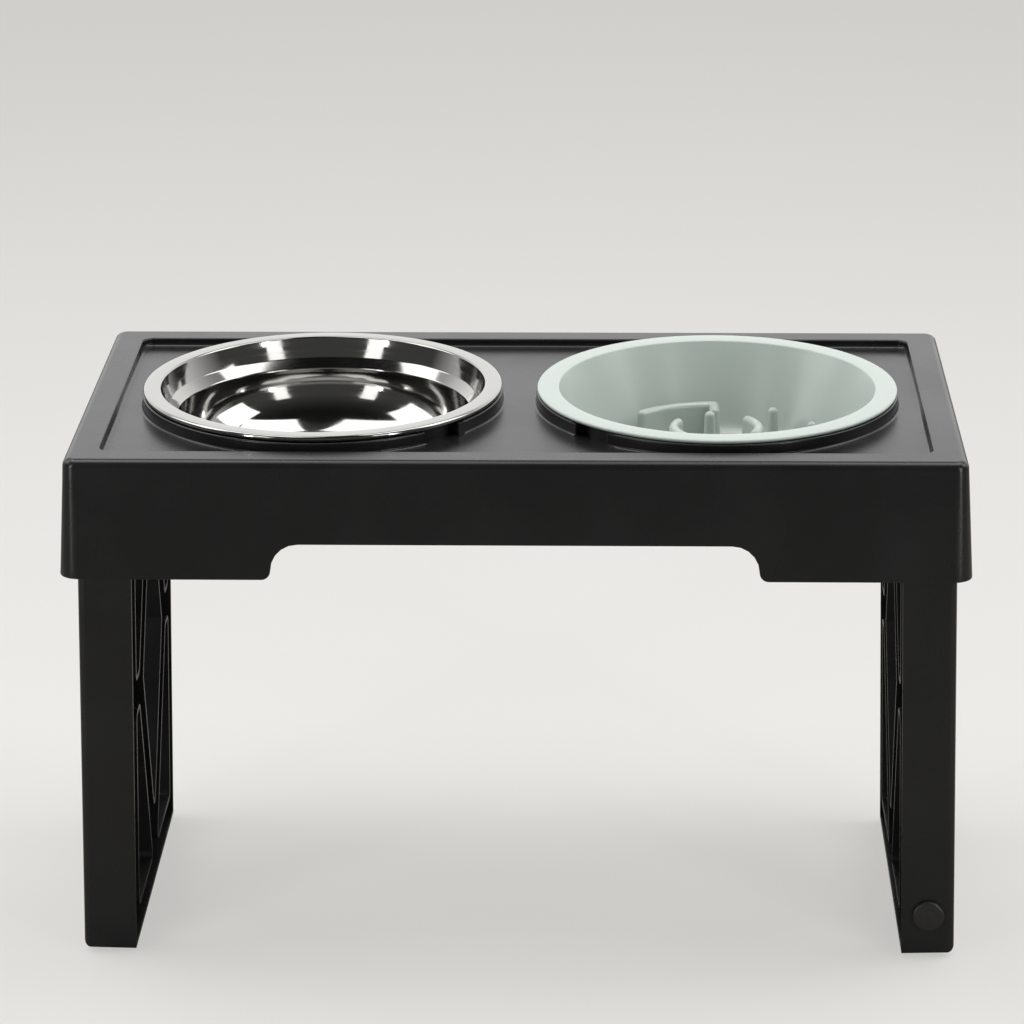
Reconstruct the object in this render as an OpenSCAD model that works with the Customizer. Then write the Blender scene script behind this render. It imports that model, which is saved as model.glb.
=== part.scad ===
// Raised dog feeder stand: a moulded tray with two lift-out bowls on two plug-in leg panels with rubber feet.
// Millimetres. The origin is on the floor under the middle of the tray, X runs along the tray,
// Y to the back and Z up. The steel bowl is on the -X side and the slow feeder bowl on the +X side.

/* [Tray] */
// Width of the tray at its top
tray_w = 490; // [484:1:560]
// Depth of the tray at its top
tray_d = 252; // [246:1:300]
// Height of the tray's top above the floor
stand_h = 305; // [260:1:360]
// Height of the skirt
skirt_h = 67; // [64:1:84]
// Outward lean of the skirt over its height
skirt_flare = 4; // [2:0.5:7]
// Wall of the skirt
skirt_t = 3; // [2:0.1:4]
// Thickness of the deck
deck_t = 3; // [2:0.1:4]
// Corner radius of the tray in plan
tray_corner_r = 7; // [6.5:0.5:14]
// Radius of the tray's top edge
tray_edge_r = 4.5; // [2:0.5:6]
// Radius of the edge between the skirt and the underside of the deck
inner_edge_r = 1; // [0.5:0.1:2]
// Width of the raised border
border_w = 18; // [14:0.5:19]
// Depth of the recess inside the border
recess_h = 4.8; // [3.5:0.1:6]
// Corner radius of the recess
recess_r = 7; // [4:0.5:12]
// Radius of the hollow edge along the foot of the recess wall
recess_foot_r = 2.4; // [1:0.1:3]

/* [Skirt arches] */
// Width of the arch in the front and rear skirt
arch_w = 266; // [160:1:320]
// Height of the arch
arch_h = 20; // [14:0.5:26]
// Radius of the rounded lip at each side of the arch
arch_lip_r = 5; // [2:0.5:8]

/* [Bowl seats] */
// Distance between the two bowl centres
seat_pitch = 224; // [216:1:230]
// Radius of the hole under a bowl
seat_hole_r = 94; // [93.6:0.1:95]
// Radius of the raised seat ring
seat_ring_r = 102.6; // [101:0.1:104]
// Height of the seat ring above the recess floor
seat_ring_h = 7.3; // [5.5:0.1:10]
// Depth of the collar under the deck round a seat hole
seat_collar_h = 9; // [4:0.5:14]
// Wall of that collar
seat_collar_t = 2.2; // [1.5:0.1:3]
// Angle of the finger notch from the X axis towards the front
notch_angle = 46; // [35:0.5:60]
// Angle that the whole finger notch covers
notch_span = 14; // [8:0.5:24]
// Angle of the deeper slot at the inner end of the notch
notch_slot_span = 2.5; // [2:0.5:6]
// Set-back of the seat wall in the rest of the notch
notch_depth = 6; // [3:0.1:7]
// Wall that closes the slot towards the bowl
notch_wall_t = 1; // [0.8:0.1:1.6]
// Drop of the walls in the notch below the top of the seat
notch_drop = 0.6; // [0.3:0.1:1.5]

/* [Steel bowl] */
// Radius of the steel bowl's rim
steel_rim_r = 102; // [99:0.1:104]
// Radius of the steel bowl's mouth
steel_mouth_r = 92; // [88:0.1:92.8]
// Height of the rolled rim
steel_rim_h = 3.2; // [2.4:0.1:5]
// Sheet of the steel bowl
steel_t = 1; // [0.6:0.1:1.2]
// Depth of the steel bowl
steel_depth = 54; // [46:0.5:60]
// Depth of the straight wall above the shoulder
steel_wall_h = 11.5; // [6:0.5:14]
// Radius at the foot of the straight wall
steel_wall_r = 88; // [85:0.1:90]
// Depth of the foot of the sloping shoulder
steel_shoulder_h = 16.5; // [15:0.5:20]
// Radius at the foot of the sloping shoulder
steel_shoulder_r = 83; // [76:0.1:84]
// Radius of the curve from the shoulder to the base
steel_dish_r = 36; // [20:0.5:37]

/* [Slow feeder bowl] */
// Radius of the slow feeder's rim
slow_rim_r = 102; // [99:0.1:104]
// Radius of the slow feeder's mouth
slow_mouth_r = 89.8; // [86:0.1:90.4]
// Thickness of the rim
slow_rim_h = 2; // [1.6:0.1:4]
// Wall of the slow feeder
slow_t = 2.4; // [1.8:0.1:3]
// Depth of the slow feeder
slow_depth = 51; // [44:0.5:58]
// Radius at the base of the inner wall
slow_base_r = 72; // [70:0.5:78]
// Radius of the curve from the wall to the floor
slow_dish_r = 12; // [6:0.5:15]
// Height of the outer ridges and posts of the maze above the floor
outer_ridge_h = 22.5; // [12:0.5:28]
// Height of the inner ridges and posts
inner_ridge_h = 28; // [14:0.5:34]
// Width of a ridge at its round top
ridge_top_w = 6; // [3.5:0.1:6.5]
// Draft that a ridge gains on each side down to the floor
ridge_draft = 0.9; // [0.3:0.1:1.5]
// Radius of the outer arcs of the maze
maze_outer_r = 60.5; // [56:0.5:62]
// Radius of the inner arcs of the maze
maze_inner_r = 24; // [21:0.5:30]
// Length of the hook at one end of each outer arc
maze_hook = 11; // [6:0.5:16]
// Angle of the hooked end of an outer arc
maze_outer_from = 90; // [86:1:96]
// Angle that an outer arc covers
maze_outer_span = 44; // [34:1:54]
// Angle of the first end of an inner arc
maze_inner_from = -25; // [-34:1:-16]
// Angle that an inner arc covers
maze_inner_span = 65; // [50:1:74]
// Radius at which the outer posts stand
outer_post_r = 60; // [56:0.5:62]
// Angle of the outer post beside the hook of an outer arc
hook_post_angle = 55.5; // [48:0.5:62]
// Angle of the outer post beside it
side_post_angle = 22; // [14:0.5:30]
// Radius at which the inner posts stand
inner_post_r = 24.5; // [21:0.5:30]
// Angle of an inner post
inner_post_angle = 97.5; // [90:0.5:105]
// Number of times that the maze repeats round the bowl
maze_folds = 2; // [1:1:2]

/* [Legs] */
// Distance of a leg panel from the front and rear of the tray
leg_set_in = 28; // [24:0.5:36]
// Thickness of a leg panel
leg_t = 30; // [26:0.5:31]
// Wall of a leg panel
leg_wall = 2.5; // [1.8:0.1:3]
// Outward rake of the legs in degrees
leg_rake = 1.3; // [0:0.1:1.6]
// Radius of the outer edges of a leg panel
leg_edge_r = 4; // [2:0.5:6]
// Width of the front and rear posts
post_w = 19; // [16:0.5:24]
// Height of the bottom and top rails
rail_h = 20; // [16:0.5:26]
// Width of the slanted bars and of the bars beside the diamond
bar_w = 23; // [16:0.5:24]
// Distance of the diamond's side corners from the leg's front and rear edges
diamond_set_in = 52; // [50:1:60]
// Height of the diamond opening, corner to corner
diamond_h = 203; // [160:1:206]
// Corner radius of the openings
lattice_r = 3.5; // [1.5:0.5:5]
// Depth of the guides that hold a leg under the deck
guide_h = 46; // [30:1:56]
// Wall of those guides and of the deck ribs
guide_t = 2.4; // [1.8:0.1:3]
// Length that a guide wraps round a corner of the leg
guide_wrap = 5; // [3:0.5:5.5]
// Depth of the ribs under the deck
deck_rib_h = 12; // [6:0.5:18]

/* [Rubber feet] */
// Radius of a rubber foot
foot_r = 9; // [7:0.1:10]
// Height of a rubber foot outside the leg
foot_h = 2.7; // [2:0.1:5]
// Radius of the round edge of a foot
foot_edge_r = 1.3; // [0.5:0.1:1.8]
// Distance of a foot from the nearest corner of the leg
foot_inset = 23.5; // [20:0.5:32]
// Radius of the foot's stem
foot_stem_r = 4; // [3:0.1:5]
// Radius of the barb that holds the foot in the wall
foot_barb_r = 5.2; // [5.1:0.1:6]
// Length of the barb
foot_barb_h = 3.6; // [2:0.1:5]
// Radius at the tip of the barb
foot_tip_r = 3; // [2:0.1:4]

/* [Clearances] */
// Gap between a leg and the walls that guide it
leg_clear = 0.4; // [0.3:0.05:0.8]
// Gap at rest between a bowl rim and its seat, and between a leg and the deck
seat_clear = 0.3; // [0.2:0.05:0.5]
// Gap between a foot's stem and its bore
stem_clear = 0.15; // [0.1:0.05:0.3]

/* [Hidden] */
$fn = 64;
black_plastic = "#1b1b1d";
black_rubber = "#242424";
polished_steel = "#c9cccd";
sage_plastic = "#bccac3";
// Overlap that joins two shapes of one piece, and overrun of a cut
join = 1;
// Grid for points that two shapes of one piece share
grid = 0.001;
// Steps along a rounded edge
edge_steps = 5;
// Angle at which the round top of a ridge ends in a small flat
crown_angle = 80;
// Depth to which a ridge starts inside the bowl's floor
ridge_sink = slow_t / 4;

// Levels above the floor
skirt_z = stand_h - skirt_h;
recess_z = stand_h - recess_h;
deck_z = recess_z - deck_t;
seat_z = recess_z + seat_ring_h;
rim_z = seat_z + seat_clear;
seat_x = seat_pitch / 2;
// Outward lean of the skirt for each millimetre down from the top
skirt_slope = skirt_flare / skirt_h;
// Middle of the deck, where the shapes above and below it end
mid_deck_z = deck_z + deck_t / 2;
leg_d = tray_d - 2 * leg_set_in;
// Width of the diamond opening, corner to corner
diamond_w = leg_d - 2 * diamond_set_in;
leg_top_z = deck_z - seat_clear;
leg_face_x = tray_w / 2 - skirt_t - leg_clear;
leg_h = (leg_top_z - foot_h - leg_t / 2 * sin(leg_rake)) / cos(leg_rake);
// The raked foot reaches this far under the floor before it is cut level
foot_sink = foot_r * sin(leg_rake);

// Points of an arc round a centre, from one angle to another
function arc(centre, r, from, to, steps = edge_steps) =
    [for (i = [0:steps]) let (a = from + (to - from) * i / steps) centre + r * [cos(a), sin(a)]];

// Direction of the outward normal of the edge from a to b of an anticlockwise outline
function edge_normal(a, b) = atan2(a[0] - b[0], b[1] - a[1]);

// Angle turned anticlockwise from one direction to another
function turn(from, to) = (to - from + 720) % 360;

// Outline of a convex shape whose corners are arcs round the given points, anticlockwise
function rounded_outline(points, r) =
    let (n = len(points))
    [for (i = [0:n - 1])
        let (
            before = edge_normal(points[(i + n - 1) % n], points[i]),
            after = edge_normal(points[i], points[(i + 1) % n])
        )
        each arc(points[i], r, before, before + turn(before, after))];

// A point moved to the nearest one on the grid, so that a straight wall and its corner meet exactly
function snap(point) = [for (v = point) round(v / grid) * grid];

// Half outline of a leaning wall with a round top edge, from the axis at x = 0 outwards
function wall_outline(reach, h, slope, edge_r) =
    let (
        lean = atan(slope),
        centre = [reach - edge_r * (1 - sin(lean)) / cos(lean), h - edge_r]
    )
    [
        [0, 0],
        snap([reach + slope * h, 0]),
        for (p = arc(centre, edge_r, lean, 90)) snap(p),
        [0, h]
    ];

// Whole outline from a half one whose first and last points lie on the axis at x = 0
function both_sides(half) = concat(half, [for (i = [len(half) - 2:-1:1]) [-half[i][0], half[i][1]]]);

// A block with leaning sides, round corners and a round top edge. Its size is given at the top.
module leaning_block(w, d, h, r, slope, edge_r) {
    for (quarter = [[1, 1, 0], [-1, 1, 90], [-1, -1, 180], [1, -1, 270]])
        translate([quarter[0] * (w / 2 - r), quarter[1] * (d / 2 - r), 0])
            rotate([0, 0, quarter[2]])
                rotate_extrude(angle = 90)
                    polygon(wall_outline(r, h, slope, edge_r));
    leaning_bar(w, d - 2 * r, h, slope, edge_r);
    rotate([0, 0, 90]) leaning_bar(d, w - 2 * r, h, slope, edge_r);
}

// The straight part of such a block, w wide between its leaning sides and l long
module leaning_bar(w, l, h, slope, edge_r) {
    rotate([90, 0, 0])
        linear_extrude(l, center = true)
            polygon(both_sides(wall_outline(w / 2, h, slope, edge_r)));
}

// Places a piece that is drawn in a leg's own frame: x = 0 on the outer face, z = 0 at the top
module in_leg_frame(side) {
    rotate([0, 0, side > 0 ? 0 : 180])
        translate([leg_face_x, 0, leg_top_z])
            rotate([0, -leg_rake, 0])
                children();
}

// Extrudes an outline in the Y-Z plane from one x to another
module across_leg(from, to) {
    translate([from, 0, 0]) rotate([90, 0, 90]) linear_extrude(to - from) children();
}

// Tray
module tray_shell() {
    inner_top = deck_z - skirt_z;
    inner_shift = 2 * (skirt_slope * (skirt_h - inner_top) - skirt_t);
    inner_r = tray_corner_r + inner_shift / 2;
    difference() {
        translate([0, 0, skirt_z])
            leaning_block(tray_w, tray_d, skirt_h, tray_corner_r, skirt_slope, tray_edge_r);
        translate([0, 0, skirt_z - join])
            leaning_block(
                tray_w + inner_shift, tray_d + inner_shift, inner_top + join,
                inner_r, skirt_slope, inner_edge_r
            );
        translate([0, 0, stand_h + join])
            mirror([0, 0, 1])
                leaning_block(
                    tray_w - 2 * border_w, tray_d - 2 * border_w, recess_h + join, recess_r, 0, recess_foot_r
                );
    }
}

// Sector of a ring round a seat hole, between two angles and two levels
module seat_sector(outer_r, low, high, from, to) {
    rotate([0, 0, from])
        rotate_extrude(angle = to - from)
            translate([seat_hole_r - join, low])
                square([outer_r - seat_hole_r + join, high - low]);
}

// Raised ring of the -X seat with a collar under the deck. Its finger notch has a set-back wall, and a slot
// in front of a thin wall at its inner end.
module seat_ring() {
    from = -notch_angle - notch_span / 2;
    to = -notch_angle + notch_span / 2;
    notch_z = seat_z - notch_drop;
    set_back_r = seat_ring_r - notch_depth;
    seat_sector(seat_ring_r, mid_deck_z, seat_z, to, from + 360);
    seat_sector(set_back_r, mid_deck_z, notch_z, from - notch_slot_span, to - notch_slot_span);
    rotate_extrude() {
        translate([seat_hole_r - join, mid_deck_z])
            square([notch_wall_t + join, notch_z - notch_drop - mid_deck_z]);
        translate([seat_hole_r - join, deck_z - seat_collar_h])
            square([seat_collar_t + join, mid_deck_z - deck_z + seat_collar_h]);
    }
}

// Opening in the front and rear skirt: a flat arch with hollow corners and rounded lips
module arch_cut() {
    side = arch_w / 2;
    corner_r = arch_h - arch_lip_r;
    half = concat(
        [[0, -join], [side + arch_lip_r, -join]],
        arc([side + arch_lip_r, arch_lip_r], arch_lip_r, 270, 180),
        arc([side - corner_r, arch_lip_r], corner_r, 0, 90),
        [[0, arch_h]]
    );
    translate([0, 0, skirt_z])
        rotate([90, 0, 0])
            linear_extrude(2 * tray_d, center = true)
                polygon(both_sides(half));
}

// Guides under the deck that hold the top of a leg: a long inner rib with returns, and two outer returns
module leg_guides() {
    top = seat_clear + deck_t / 2;
    inner_x = -leg_t - leg_clear;
    outer_y = leg_d / 2 + leg_clear + guide_t;
    wall_reach = skirt_slope * skirt_h + leg_clear;
    translate([inner_x - guide_t, -outer_y, -guide_h]) cube([guide_t, 2 * outer_y, guide_h + top]);
    for (end = [-1, 1])
        translate([0, end * (outer_y - guide_t / 2), -guide_h]) {
            translate([inner_x - guide_t, -guide_t / 2, 0])
                cube([guide_t + leg_clear + guide_wrap, guide_t, guide_h + top]);
            translate([-guide_wrap, -guide_t / 2, 0])
                cube([guide_wrap + wall_reach, guide_t, guide_h + top]);
        }
}

// Ribs under the deck: one across the middle, and one from each collar to the front and rear skirt
module deck_ribs() {
    inside_y = tray_d / 2 - skirt_t / 2;
    foot_z = deck_z - deck_rib_h;
    height = deck_rib_h + deck_t / 2;
    translate([-guide_t / 2, -inside_y, foot_z]) cube([guide_t, 2 * inside_y, height]);
    for (side = [-1, 1], end = [-1, 1]) {
        length = inside_y - seat_hole_r;
        translate([side * seat_x - guide_t / 2, end * (seat_hole_r + length / 2) - length / 2, foot_z])
            cube([guide_t, length, height]);
    }
}

module tray() {
    color(black_plastic)
        difference() {
            union() {
                tray_shell();
                deck_ribs();
                for (side = [-1, 1]) {
                    translate([side * seat_x, 0, 0]) mirror([side > 0 ? 1 : 0, 0, 0]) seat_ring();
                    in_leg_frame(side) leg_guides();
                }
            }
            arch_cut();
            for (side = [-1, 1])
                translate([side * seat_x, 0, 0]) cylinder(r = seat_hole_r, h = 2 * stand_h);
        }
}

// Steel bowl. Its outlines are measured from the top of the rim, and grow by g for the outside of the sheet.
function steel_outline(g) = concat(
    [[0, -steel_depth - g]],
    arc([steel_shoulder_r - steel_dish_r, steel_dish_r - steel_depth], steel_dish_r + g, -90, 0),
    [
        [steel_shoulder_r + g, -steel_shoulder_h],
        [steel_wall_r + g, -steel_wall_h],
        [steel_mouth_r + g, 0],
        [0, 0]
    ]
);

module steel_bowl() {
    roll_r = steel_rim_h / 2;
    color(polished_steel)
        translate([-seat_x, 0, rim_z + steel_rim_h])
            rotate_extrude($fn = 128) {
                difference() {
                    union() {
                        polygon(steel_outline(steel_t));
                        translate([steel_mouth_r, -steel_t])
                            square([steel_rim_r - roll_r - steel_mouth_r, steel_t]);
                        translate([steel_rim_r - roll_r, -roll_r]) circle(roll_r);
                    }
                    polygon(steel_outline(0));
                }
            }
}

// Angle at which a straight line from a point touches the lower side of a circle
function tangent_angle(centre, r, point) =
    let (away = point - centre)
    atan2(away[1], away[0]) - acos(r / norm(away));

// Slow feeder bowl. Its outlines are measured from the top of the rim in the same way.
function slow_outline(g) = concat(
    [[0, -slow_depth - g]],
    let (
        centre = [slow_base_r - slow_dish_r, slow_dish_r - slow_depth],
        mouth = [slow_mouth_r + g, -slow_rim_h / 2]
    )
    concat(
        arc(centre, slow_dish_r + g, -90, tangent_angle(centre, slow_dish_r + g, mouth)),
        [mouth, [mouth[0], 0], [0, 0]]
    )
);

// Half width and height of a ridge at each level, from under the floor to its round top at height h
function ridge_levels(h) = concat(
    [[ridge_top_w / 2 + ridge_draft, -ridge_sink]],
    arc([0, h - ridge_top_w / 2], ridge_top_w / 2, 0, crown_angle)
);

// Point at a radius and an angle
function polar(r, angle) = r * [cos(angle), sin(angle)];

// Clockwise outline of an arc ridge that turns in at its first end, at half width q
function hooked_arc(q, r, from, to, hook) = concat(
    arc([0, 0], r + q, to, from),
    arc(polar(r, from), q, from, from - 90),
    arc(polar(r - hook, from), q, from - 90, from - 180),
    arc(polar(r - hook, from), q, from - 180, from - 270),
    arc([0, 0], r - q, from + asin(q / (r - q)), to),
    arc(polar(r, to), q, to + 180, to)
);

// Clockwise outline of an arc ridge with two round ends, at half width q
function plain_arc(q, r, from, to) = concat(
    arc([0, 0], r + q, to, from),
    arc(polar(r, from), q, from, from - 180),
    arc([0, 0], r - q, from, to),
    arc(polar(r, to), q, to + 180, to)
);

// Ridge through one outline for each level
module ridge(outlines, levels) {
    n = len(outlines[0]);
    last = len(outlines) - 1;
    points = [for (k = [0:last]) for (p = outlines[k]) [p[0], p[1], levels[k][1]]];
    sides = [for (k = [0:last - 1], i = [0:n - 1])
        let (
            a = k * n + i,
            b = k * n + (i + 1) % n
        )
        each [[b, b + n, a + n], [b, a + n, a]]];
    polyhedron(points, concat([[for (i = [n - 1:-1:0]) i]], sides, [[for (i = [0:n - 1]) last * n + i]]));
}

// Round post of the maze, of height h
module ridge_post(r, angle, h) {
    levels = ridge_levels(h);
    translate(polar(r, angle))
        rotate_extrude()
            polygon(concat([[0, -ridge_sink]], levels, [[0, levels[len(levels) - 1][1]]]));
}

// One part of the maze, which repeats round the bowl
module maze_part() {
    outer_to = maze_outer_from + maze_outer_span;
    inner_to = maze_inner_from + maze_inner_span;
    outer = ridge_levels(outer_ridge_h);
    inner = ridge_levels(inner_ridge_h);
    ridge(
        [for (level = outer) hooked_arc(level[0], maze_outer_r, maze_outer_from, outer_to, maze_hook)],
        outer
    );
    ridge([for (level = inner) plain_arc(level[0], maze_inner_r, maze_inner_from, inner_to)], inner);
    ridge_post(outer_post_r, hook_post_angle, outer_ridge_h);
    ridge_post(outer_post_r, side_post_angle, outer_ridge_h);
    ridge_post(inner_post_r, inner_post_angle, inner_ridge_h);
}

module slow_feeder_bowl() {
    edge_r = slow_rim_h / 2;
    color(sage_plastic)
        translate([seat_x, 0, rim_z + slow_rim_h]) {
            rotate_extrude($fn = 128)
                difference() {
                    union() {
                        polygon(slow_outline(slow_t));
                        translate([slow_mouth_r, -slow_rim_h])
                            square([slow_rim_r - edge_r - slow_mouth_r, slow_rim_h]);
                        translate([slow_rim_r - edge_r, -edge_r]) circle(edge_r);
                    }
                    polygon(slow_outline(0));
                }
            translate([0, 0, -slow_depth])
                for (fold = [0:maze_folds - 1])
                    rotate([0, 0, fold * 360 / maze_folds])
                        maze_part();
        }
}

// Leg panel: a hollow moulding that is closed on its outer face and open towards the middle of the stand
module leg_block() {
    intersection() {
        rotate([90, 0, 0])
            linear_extrude(leg_d, center = true)
                polygon(concat(
                    [[-leg_t, 0], [-leg_t, -leg_h]],
                    arc([-leg_edge_r, leg_edge_r - leg_h], leg_edge_r, -90, 0),
                    arc([-leg_edge_r, -leg_edge_r], leg_edge_r, 0, 90)
                ));
        translate([0, 0, -leg_h - join])
            linear_extrude(leg_h + 2 * join)
                polygon(concat(
                    [[-leg_t - join, leg_d / 2], [-leg_t - join, -leg_d / 2]],
                    arc([-leg_edge_r, leg_edge_r - leg_d / 2], leg_edge_r, -90, 0),
                    arc([-leg_edge_r, leg_d / 2 - leg_edge_r], leg_edge_r, 0, 90)
                ));
    }
}

module leg_hollow() {
    inside_y = leg_d / 2 - leg_wall;
    translate([-leg_t - join, -inside_y, leg_wall - leg_h])
        cube([leg_t + join - leg_wall, 2 * inside_y, leg_h - 2 * leg_wall]);
}

// Outlines of the five openings, round the middle of the panel and grown by g: a diamond and four corners
module lattice(g) {
    a = diamond_w / 2;
    b = diamond_h / 2;
    // Distance of the diamond's sides from its middle
    side = 1 / norm([1 / a, 1 / b]);
    shrunk = 1 - lattice_r / side;
    grown = 1 + (bar_w + lattice_r) / side;
    y_post = leg_d / 2 - post_w - lattice_r;
    z_rail = leg_h / 2 - rail_h - lattice_r;
    z_bar = bar_w / 2 + lattice_r;
    corner = [
        [a * (grown - z_bar / b), z_bar],
        [y_post, z_bar],
        [y_post, z_rail],
        [a * (grown - z_rail / b), z_rail]
    ];
    translate([0, -leg_h / 2]) {
        polygon(rounded_outline([[0, -b], [a, 0], [0, b], [-a, 0]] * shrunk, lattice_r + g));
        for (x = [0, 1], y = [0, 1])
            mirror([x, 0]) mirror([0, y]) polygon(rounded_outline(corner, lattice_r + g));
    }
}

// Places a foot on the underside of a leg, at the front (-1) or rear (1)
module under_leg(end) {
    translate([-leg_t / 2, end * (leg_d / 2 - foot_inset), -leg_h]) children();
}

// Places a foot on the long edge of a leg, at the lower (-1) or upper (1) corner
module on_leg_edge(end) {
    translate([-leg_t / 2, -leg_d / 2, -leg_h / 2 + end * (leg_h / 2 - foot_inset)])
        rotate([-90, 0, 0])
            children();
}

module foot_bore() {
    translate([0, 0, -join]) cylinder(r = foot_stem_r + stem_clear, h = leg_wall + 2 * join);
}

module leg_panel() {
    difference() {
        union() {
            difference() {
                leg_block();
                leg_hollow();
            }
            across_leg(-leg_t, -leg_wall / 2) lattice(leg_wall);
        }
        across_leg(-leg_t - join, join) lattice(0);
        for (end = [-1, 1]) {
            under_leg(end) foot_bore();
            on_leg_edge(end) foot_bore();
        }
    }
}

module left_leg() {
    color(black_plastic) in_leg_frame(-1) leg_panel();
}

module right_leg() {
    color(black_plastic) in_leg_frame(1) leg_panel();
}

// Rubber plug: a round pad outside the wall, a stem through it and a barb behind it. reach lengthens the pad.
module rubber_plug(reach) {
    pad_h = foot_h + reach;
    rotate_extrude()
        polygon(concat(
            [[0, -pad_h]],
            arc([foot_r - foot_edge_r, foot_edge_r - pad_h], foot_edge_r, -90, 0),
            [
                [foot_r, 0],
                [foot_stem_r, 0],
                [foot_stem_r, leg_wall],
                [foot_barb_r, leg_wall],
                [foot_tip_r, leg_wall + foot_barb_h],
                [0, leg_wall + foot_barb_h]
            ]
        ));
}

// Foot under a leg, cut level with the floor. The left leg is turned half round, so its ends swap.
module floor_foot(side, end) {
    color(black_rubber)
        intersection() {
            in_leg_frame(side) under_leg(side * end) rubber_plug(foot_sink);
            translate([-tray_w, -tray_d, 0]) cube([2 * tray_w, 2 * tray_d, stand_h]);
        }
}

// Foot on the long edge of a leg: the front edge of the right leg, the rear edge of the left one
module edge_foot(side, end) {
    color(black_rubber) in_leg_frame(side) on_leg_edge(end) rubber_plug(0);
}

module left_leg_front_foot() { floor_foot(-1, -1); }
module left_leg_rear_foot() { floor_foot(-1, 1); }
module left_leg_lower_edge_foot() { edge_foot(-1, -1); }
module left_leg_upper_edge_foot() { edge_foot(-1, 1); }
module right_leg_front_foot() { floor_foot(1, -1); }
module right_leg_rear_foot() { floor_foot(1, 1); }
module right_leg_lower_edge_foot() { edge_foot(1, -1); }
module right_leg_upper_edge_foot() { edge_foot(1, 1); }

tray();
steel_bowl();
slow_feeder_bowl();
left_leg();
right_leg();
left_leg_front_foot();
left_leg_rear_foot();
left_leg_lower_edge_foot();
left_leg_upper_edge_foot();
right_leg_front_foot();
right_leg_rear_foot();
right_leg_lower_edge_foot();
right_leg_upper_edge_foot();
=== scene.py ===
"""Looks of a raised feeder stand for a dog.

A black moulded tray stands on two plug-in lattice legs with rubber feet. A polished steel bowl and a
sage slow feeder bowl hang in its two ring seats and lift out. Sizes are in millimetres, and the meshes
and the studio in metres.
"""
import logging
import math
from dataclasses import dataclass
from enum import Enum
from typing import Any, Callable, Optional, Sequence

import bmesh
import bpy
from mathutils import Matrix, Vector


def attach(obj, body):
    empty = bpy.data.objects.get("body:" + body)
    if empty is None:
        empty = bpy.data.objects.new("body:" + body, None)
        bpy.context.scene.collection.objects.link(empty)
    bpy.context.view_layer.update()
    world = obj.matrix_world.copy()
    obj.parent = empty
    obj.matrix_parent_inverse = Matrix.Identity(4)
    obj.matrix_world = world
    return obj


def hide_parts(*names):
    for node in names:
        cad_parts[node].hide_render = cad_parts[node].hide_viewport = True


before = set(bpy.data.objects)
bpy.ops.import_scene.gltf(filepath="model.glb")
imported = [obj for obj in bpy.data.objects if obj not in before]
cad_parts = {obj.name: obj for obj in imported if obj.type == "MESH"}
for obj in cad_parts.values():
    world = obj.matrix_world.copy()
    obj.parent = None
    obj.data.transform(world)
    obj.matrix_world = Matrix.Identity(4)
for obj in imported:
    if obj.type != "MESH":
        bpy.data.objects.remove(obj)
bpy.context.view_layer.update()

MM = 0.001
# Index of refraction of polypropylene
POLYPROPYLENE_IOR = 1.49
# A corner counts as straight when half its angle is above this, in degrees
NEARLY_STRAIGHT = 89.0
Point = tuple[float, float]
Place = tuple[float, float, float]
Colour = tuple[float, float, float, float]
log = logging.getLogger("feeder_stand")


class Side(Enum):
    """The two sides of the stand along X."""

    LEFT = -1
    RIGHT = 1


class End(Enum):
    """Front or rear of a leg, and the lower or upper end of its long edge."""

    FIRST = -1
    SECOND = 1


# Colour and node helpers
def linear(hex_colour: str) -> Colour:
    """Turns an sRGB hex colour into linear RGBA.

    Args:
        hex_colour: Six hex digits after a hash sign.

    Returns:
        Linear red, green, blue and an alpha of one.
    """
    values = [int(hex_colour[i:i + 2], 16) / 255 for i in (1, 3, 5)]
    red, green, blue = (v / 12.92 if v <= 0.04045 else ((v + 0.055) / 1.055) ** 2.4 for v in values)
    return red, green, blue, 1.0


def add_node(tree: bpy.types.NodeTree, kind: str, inputs: Optional[dict[Any, Any]] = None,
             **settings: Any) -> bpy.types.Node:
    """Adds a node, sets it up and links it.

    Args:
        tree: Node tree of a material or of the world.
        kind: Blender's name of the node type.
        inputs: Value or output socket for each input, by its name or number.
        settings: Properties of the node.

    Returns:
        The new node.
    """
    node = tree.nodes.new(kind)
    for name, value in settings.items():
        setattr(node, name, value)
    for key, value in (inputs or {}).items():
        if isinstance(value, bpy.types.NodeSocket):
            tree.links.new(value, node.inputs[key])
        else:
            node.inputs[key].default_value = value
    return node


def set_ramp(node: bpy.types.Node, stops: Sequence[tuple[float, Colour]]) -> None:
    """Gives a colour ramp its stops.

    Args:
        node: A ColorRamp node with its two first stops.
        stops: Position and linear colour of each stop.
    """
    elements = node.color_ramp.elements
    while len(elements) < len(stops):
        elements.new(1.0)
    for element, (position, colour) in zip(elements, stops):
        element.position = position
        element.color = colour


def fresh_material(name: str) -> tuple[bpy.types.Material, bpy.types.Node, bpy.types.NodeSocket]:
    """Starts a material with a Principled shader.

    Args:
        name: Name of the material.

    Returns:
        The material, its shader node and the Object coordinates.
    """
    material = bpy.data.materials.new(name)
    material.use_nodes = True
    tree = material.node_tree
    tree.nodes.clear()
    shader = add_node(tree, "ShaderNodeBsdfPrincipled")
    add_node(tree, "ShaderNodeOutputMaterial", {"Surface": shader.outputs["BSDF"]})
    place = add_node(tree, "ShaderNodeTexCoord").outputs["Object"]
    return material, shader, place


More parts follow.
